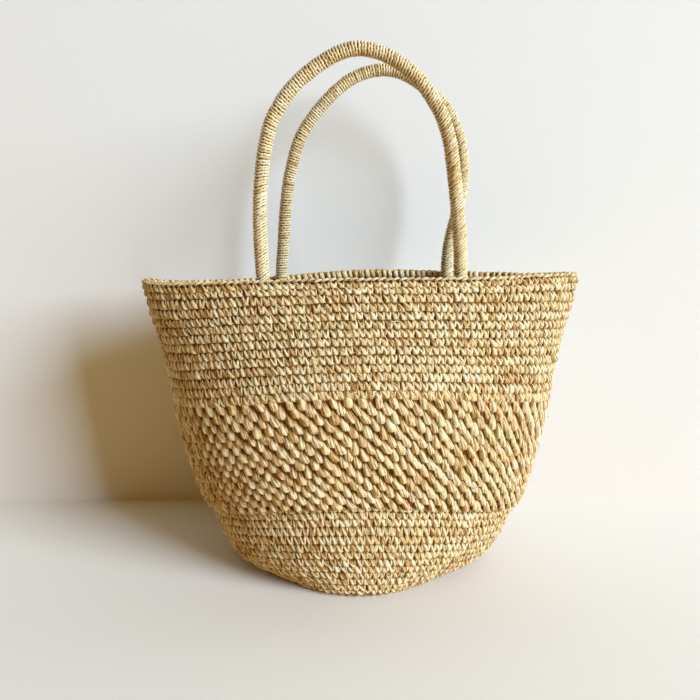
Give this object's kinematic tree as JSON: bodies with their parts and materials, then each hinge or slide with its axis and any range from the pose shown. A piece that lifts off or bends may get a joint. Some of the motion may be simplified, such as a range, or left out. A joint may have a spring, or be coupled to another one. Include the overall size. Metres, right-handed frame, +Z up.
{
  "type": "crocheted raffia tote bag",
  "caption": "Open crocheted raffia bucket tote with a round base, plain and puff-stitch bands, a rolled mouth edging and upright wrapped rope handles that fold over the mouth.",
  "frame": {"origin": "on the floor under the middle of the round base", "axes": "+Z up towards the mouth and handles, +X along the wide side of the mouth, -Y towards the front handle"},
  "size_m": [0.436, 0.2374, 0.5113],
  "materials": {
    "raffia": "crocheted strands of natural raffia, satin, lightly streaked",
    "base_raffia": "crocheted strands of natural raffia, a little darker underneath",
    "wrap_raffia": "one raffia strand wound tightly in close turns, satin",
    "rope": "stiff plant-fibre rope under the wrapping, matt",
    "thread": "raffia strand used as sewing thread, satin"
  },
  "bodies": {
    "bag": {"base_disc": "base_raffia", "lower_wall": "raffia", "puff_band": "raffia", "upper_wall": "raffia", "mouth_edging": "raffia", "front_left_root": "wrap_raffia", "front_right_root": "wrap_raffia", "front_left_tail": "wrap_raffia", "front_right_tail": "wrap_raffia", "front_left_thread": "thread", "front_right_thread": "thread", "back_left_root": "wrap_raffia", "back_right_root": "wrap_raffia", "back_left_tail": "wrap_raffia", "back_right_tail": "wrap_raffia", "back_left_thread": "thread", "back_right_thread": "thread"},
    "front_handle": {"front_handle_wrap": "wrap_raffia", "front_handle_core": "rope"},
    "back_handle": {"back_handle_wrap": "wrap_raffia", "back_handle_core": "rope"}
  },
  "joints": [
    {"name": "front_handle_fold", "type": "hinge", "parent": "bag", "child": "front_handle", "pos_m": [0, -0.07075, 0.30361], "axis": [1, 0, 0], "range_deg": [-14, 154], "deforming": ["front_left_root", "front_right_root"]},
    {"name": "back_handle_fold", "type": "hinge", "parent": "bag", "child": "back_handle", "pos_m": [0, 0.06965, 0.29316], "axis": [-1, 0, 0], "range_deg": [-14, 154], "deforming": ["back_left_root", "back_right_root"]}
  ]
}
